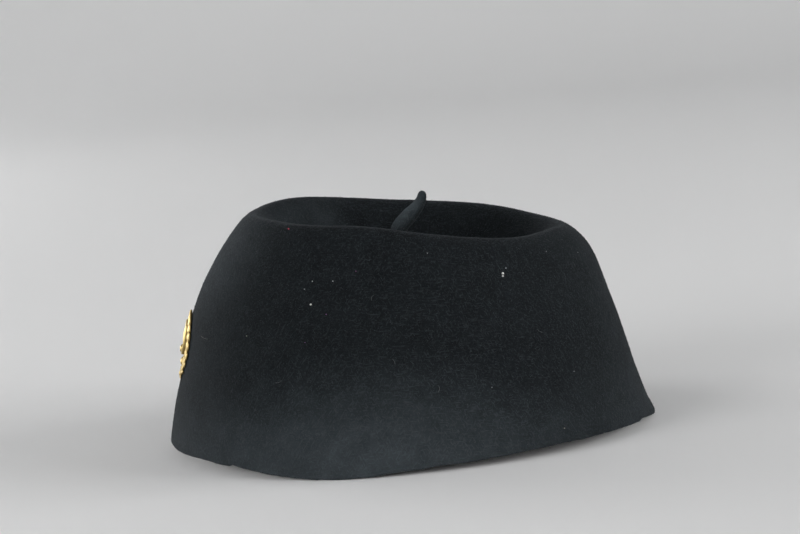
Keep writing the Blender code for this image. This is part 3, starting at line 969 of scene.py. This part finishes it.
def felt_group():
    """Masks and height of felt: crossing strands, soft clumps, wear with a painted highlight at
    bends, and patches of painted light on the brim, shoulder, dish and stem.
    """
    tree = bpy.data.node_groups.new("felt_surface", "ShaderNodeTree")
    face = tree.interface
    face.new_socket("Vector", in_out="INPUT", socket_type="NodeSocketVector")
    face.new_socket("Fibre Scale", in_out="INPUT", socket_type="NodeSocketFloat")
    face.new_socket("Clump Scale", in_out="INPUT", socket_type="NodeSocketFloat")
    for name in ("Fibres", "Clumps", "Worn", "Height"):
        face.new_socket(name, in_out="OUTPUT", socket_type="NodeSocketFloat")
    given = tree.nodes.new("NodeGroupInput")
    result = tree.nodes.new("NodeGroupOutput")
    surface = tree.nodes.new("ShaderNodeNewGeometry")

    strands = add_strands(tree, given, surface.outputs["Normal"])
    fibres = add_range(tree, strands, STRAND_RANGE, smooth=True)
    cloud = add_noise(
        tree, given.outputs["Vector"], Detail=CLUMP_DETAIL, Roughness=CLUMP_ROUGHNESS)
    tree.links.new(given.outputs["Clump Scale"], cloud.inputs["Scale"])
    clumps = cloud.outputs["Fac"]
    spread = add_range(tree, clumps, CLUMP_RANGE)

    # Wear with a painted highlight at convex bends
    bend = add_node(tree, "ShaderNodeAttribute", attribute_name="wear")
    edge = add_range(tree, bend.outputs["Fac"], WEAR_AND_HIGHLIGHT_RANGE, smooth=True)
    fade = add_node(tree, "ShaderNodeAttribute", attribute_name="fade")
    worn_and_highlit_bends = add_math(tree, "MULTIPLY", edge, add_range(tree, clumps, WEAR_AND_HIGHLIGHT_BY_CLUMP))
    # Paler patches of painted light, on the cap and on the stem's lit side, broken up by clumps
    patchy_painted_light = add_math(
        tree, "MULTIPLY", fade.outputs["Fac"], add_range(tree, clumps, PAINTED_LIGHT_BY_CLUMP))
    wear_and_painted_light = add_math(tree, "ADD", worn_and_highlit_bends, patchy_painted_light)
    broken = add_math(tree, "MULTIPLY", wear_and_painted_light, add_range(tree, fibres, WEAR_AND_LIGHT_BY_FIBRE))
    height = add_math(tree, "ADD", fibres, add_math(tree, "MULTIPLY", spread, CLUMP_HEIGHT))

    tree.links.new(fibres, result.inputs["Fibres"])
    tree.links.new(spread, result.inputs["Clumps"])
    tree.links.new(broken, result.inputs["Worn"])
    tree.links.new(height, result.inputs["Height"])
    return tree


def shaded(color, amount=1.0):
    """A colour made darker or lighter, with the fourth part that sockets need."""
    return (*(amount * part for part in color), 1.0)


def felt_material(group, felt):
    material, tree, shader = new_material(felt.name)
    place = tree.nodes.new("ShaderNodeTexCoord")
    masks = add_node(tree, "ShaderNodeGroup", node_tree=group)
    set_inputs(masks, Fibre_Scale=felt.fibre_scale, Clump_Scale=felt.clump_scale)
    ground = add_node(tree, "ShaderNodeMix", data_type="RGBA")
    set_inputs(ground, A=shaded(felt.deep, CLUMP_SHADE), B=shaded(felt.deep, CLUMP_LIGHT))
    color = add_node(tree, "ShaderNodeMix", data_type="RGBA")
    set_inputs(color, B=shaded(felt.light))
    # Paler felt where it is worn, and where light and highlights are painted
    wear_and_painted_light = add_node(tree, "ShaderNodeMix", data_type="RGBA")
    set_inputs(wear_and_painted_light, B=shaded(felt.light, WEAR_AND_LIGHT_PALENESS))
    relief = tree.nodes.new("ShaderNodeBump")
    set_inputs(relief, Strength=felt.bump, Distance=BUMP_DISTANCE * MM)
    tree.links.new(place.outputs["Object"], masks.inputs["Vector"])
    tree.links.new(masks.outputs["Clumps"], ground.inputs["Factor"])
    tree.links.new(ground.outputs["Result"], color.inputs["A"])
    tree.links.new(masks.outputs["Fibres"], color.inputs["Factor"])
    tree.links.new(color.outputs["Result"], wear_and_painted_light.inputs["A"])
    tree.links.new(masks.outputs["Worn"], wear_and_painted_light.inputs["Factor"])
    tree.links.new(wear_and_painted_light.outputs["Result"], shader.inputs["Base Color"])
    tree.links.new(masks.outputs["Height"], relief.inputs["Height"])
    tree.links.new(relief.outputs["Normal"], shader.inputs["Normal"])
    shader.inputs["Roughness"].default_value = FELT_ROUGHNESS
    shader.inputs["Specular IOR Level"].default_value = FELT_SPECULAR
    shader.inputs["Sheen Weight"].default_value = SHEEN_WEIGHT
    shader.inputs["Sheen Roughness"].default_value = SHEEN_ROUGHNESS
    shader.inputs["Sheen Tint"].default_value = SHEEN_TINT
    return material


def fibre_material():
    """Wool fibres between a dark and a pale tone, by the tone that each was given."""
    material, tree, shader = new_material("fibre_felt")
    tone = add_node(tree, "ShaderNodeAttribute", attribute_name="tone")
    color = add_node(tree, "ShaderNodeMix", data_type="RGBA")
    set_inputs(color, A=FIBRE_DARK, B=FIBRE_PALE)
    tree.links.new(tone.outputs["Fac"], color.inputs["Factor"])
    tree.links.new(color.outputs["Result"], shader.inputs["Base Color"])
    shader.inputs["Roughness"].default_value = FIBRE_ROUGHNESS
    shader.inputs["Specular IOR Level"].default_value = FIBRE_SPECULAR
    return material


def lint_material():
    """Fluff in each crumb's own colour, with a slightly darker grain."""
    material, tree, shader = new_material("lint_fluff")
    place = tree.nodes.new("ShaderNodeTexCoord")
    own = add_node(tree, "ShaderNodeAttribute", attribute_name="lint_color")
    grain = add_noise(tree, place.outputs["Object"], Scale=LINT_GRAIN_SCALE)
    shade = add_node(tree, "ShaderNodeMix", data_type="RGBA", blend_type="MULTIPLY")
    set_inputs(shade, B=LINT_GRAIN)
    tree.links.new(grain.outputs["Fac"], shade.inputs["Factor"])
    tree.links.new(own.outputs["Color"], shade.inputs["A"])
    tree.links.new(shade.outputs["Result"], shader.inputs["Base Color"])
    shader.inputs["Roughness"].default_value = LINT_DULLNESS
    return material


def gilt_material(name):
    """Gilt brass that is darker and rougher where tarnish lies, and in its low parts and inner
    corners, where the darkening is tarnish and painted shade.
    """
    material, tree, shader = new_material(name)
    place = tree.nodes.new("ShaderNodeTexCoord")
    cloud = add_noise(
        tree, place.outputs["Object"], Scale=GILT_CLOUD_SCALE, Detail=GILT_CLOUD_DETAIL)
    depth = add_node(tree, "ShaderNodeAttribute", attribute_name="depth")
    recess = add_node(tree, "ShaderNodeAttribute", attribute_name="recess")
    corner = add_range(tree, recess.outputs["Fac"], TARNISH_AND_SHADE_CORNERS)
    low = add_math(tree, "MULTIPLY", depth.outputs["Fac"], TARNISH_AND_SHADE_LOW)
    uneven = add_range(tree, cloud.outputs["Fac"], TARNISH_AND_SHADE_BY_CLOUD)
    # Darker in hollows and inner corners: tarnish together with painted shade
    hollow_tarnish_and_shade = add_math(tree, "MULTIPLY", add_math(tree, "MAXIMUM", corner, low), uneven)
    film = add_range(tree, cloud.outputs["Fac"], TARNISH_FILM)
    tarnish_and_shade = add_math(tree, "ADD", hollow_tarnish_and_shade, film)
    color = add_node(tree, "ShaderNodeMix", data_type="RGBA")
    set_inputs(color, A=GILT_CLEAN, B=GILT_TARNISH_AND_SHADE)
    tree.links.new(tarnish_and_shade, color.inputs["Factor"])
    tree.links.new(color.outputs["Result"], shader.inputs["Base Color"])
    tree.links.new(add_range(tree, tarnish_and_shade, GILT_ROUGHNESS), shader.inputs["Roughness"])
    shader.inputs["Metallic"].default_value = 1.0
    return material


# Studio

def paper_material():
    """Pale paper that is painted paler away from the hat, as painted light that brightens the far
    backdrop.
    """
    material, tree, shader = new_material("studio_paper")
    place = tree.nodes.new("ShaderNodeTexCoord")
    out = add_node(tree, "ShaderNodeVectorMath", operation="LENGTH")
    cloud = add_noise(tree, place.outputs["Object"], Scale=PAPER_CLOUD_SCALE)
    color = add_node(tree, "ShaderNodeMix", data_type="RGBA")
    set_inputs(color, A=PAPER_NEAR, B=PAPER_FAR)
    tree.links.new(place.outputs["Object"], out.inputs[0])
    # Painted light: the paper grows paler with distance from the hat
    far = add_range(tree, out.outputs["Value"], PAPER_REACH, smooth=True)
    paleness = add_math(tree, "ADD", far, add_range(tree, cloud.outputs["Fac"], PAPER_CLOUD))
    tree.links.new(paleness, color.inputs["Factor"])
    tree.links.new(color.outputs["Result"], shader.inputs["Base Color"])
    shader.inputs["Roughness"].default_value = PAPER_ROUGHNESS
    return material


def make_studio():
    """A pale floor that turns up smoothly into a round wall."""
    mesh = bmesh.new()
    points = [Vector((0.0, 0.0, 0.0)), Vector((STUDIO_FLAT, 0.0, 0.0))]
    for step in range(STUDIO_STEPS):
        share = (step + 0.5) / STUDIO_STEPS
        slope = math.pi / 2 * share ** 2 * (3.0 - 2.0 * share)
        ahead = Vector((math.cos(slope), 0.0, math.sin(slope)))
        points.append(points[-1] + ahead * STUDIO_SWEEP / STUDIO_STEPS)
    points.append(points[-1] + Vector((0.0, 0.0, STUDIO_WALL)))
    verts = [mesh.verts.new(point * MM) for point in points]
    edges = [mesh.edges.new(pair) for pair in zip(verts, verts[1:])]
    bmesh.ops.spin(
        mesh, geom=verts + edges, cent=(0.0, 0.0, 0.0), axis=(0.0, 0.0, 1.0), angle=2.0 * math.pi,
        steps=STUDIO_SIDES, use_merge=True)
    bmesh.ops.remove_doubles(mesh, verts=mesh.verts, dist=MERGE_DISTANCE)
    bmesh.ops.recalc_face_normals(mesh, faces=mesh.faces)
    if max(mesh.faces, key=lambda face: -face.calc_center_median().length).normal.z < 0.0:
        bmesh.ops.reverse_faces(mesh, faces=mesh.faces)
    studio = new_piece("studio_floor", mesh, paper_material())
    return studio


def add_softbox(row, place, aim):
    """A soft square light in millimetres; the camera doesn't see the lamp itself."""
    light = bpy.data.lights.new(row.name, "AREA")
    light.shape = "RECTANGLE"
    light.size = row.width * MM
    light.size_y = row.height * MM
    light.energy = row.power
    item = bpy.data.objects.new(row.name, light)
    bpy.context.scene.collection.objects.link(item)
    item.rotation_euler = (aim - place).to_track_quat("-Z", "Y").to_euler()
    item.location = place * MM
    item.visible_camera = False


def make_light():
    world = bpy.data.worlds.new("studio_air")
    bpy.context.scene.world = world
    world.use_nodes = True
    sky = world.node_tree.nodes["Background"]
    sky.inputs["Color"].default_value = AIR_COLOR
    sky.inputs["Strength"].default_value = AIR_STRENGTH
    for row in SOFTBOXES:
        azimuth = math.radians(row.azimuth)
        elevation = math.radians(row.elevation)
        away = Vector((math.sin(azimuth), -math.cos(azimuth), math.tan(elevation))).normalized()
        add_softbox(row, CAMERA_AIM + away * SOFTBOX_DISTANCE, CAMERA_AIM)


def make_camera():
    """Azimuth 0 looks along +Y, and a larger azimuth walks round to the wearer's left."""
    camera = bpy.data.cameras.new("camera")
    camera.lens = CAMERA_LENS
    item = bpy.data.objects.new("camera", camera)
    bpy.context.scene.collection.objects.link(item)
    look = Matrix.Rotation(CAMERA_AZIMUTH, 3, "Z")
    look = look @ Matrix.Rotation(math.pi / 2 - CAMERA_ELEVATION, 3, "X")
    turned = look @ Matrix.Rotation(CAMERA_ROLL, 3, "Z")
    turned = turned @ Matrix.Rotation(CAMERA_TILT, 3, "X") @ Matrix.Rotation(CAMERA_PAN, 3, "Y")
    place = (CAMERA_AIM + look.col[2] * CAMERA_DISTANCE) * MM
    item.matrix_world = Matrix.LocRotScale(place, turned, None)
    bpy.context.scene.camera = item


def main():
    masks = felt_group()
    cap_felt = felt_material(masks, CAP_FELT)
    stem_felt = felt_material(masks, STEM_FELT)
    fibre_felt = fibre_material()
    gilt = gilt_material("gilt_brass")

    cap = make_felt_cap(cap_felt)
    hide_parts("felt_body")
    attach(cap, "root")
    stem = make_stem(stem_felt)
    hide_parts("crown_stem")
    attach(stem, "root")
    for row in FIBRES:
        fibres = make_fibres(row, skin_mesh(cap, stem), fibre_felt)
        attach(fibres, "root")
    tree = cap_tree(cap)
    lint = make_lint(tree, lint_material())
    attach(lint, "root")
    badge = make_badge(tree, gilt)
    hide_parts("badge")
    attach(badge, "root")
    nut = make_nut(gilt)
    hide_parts("badge_nut")
    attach(nut, "root")

    make_studio()
    make_light()
    make_camera()
    bpy.context.scene.view_settings.view_transform = "Standard"


main()
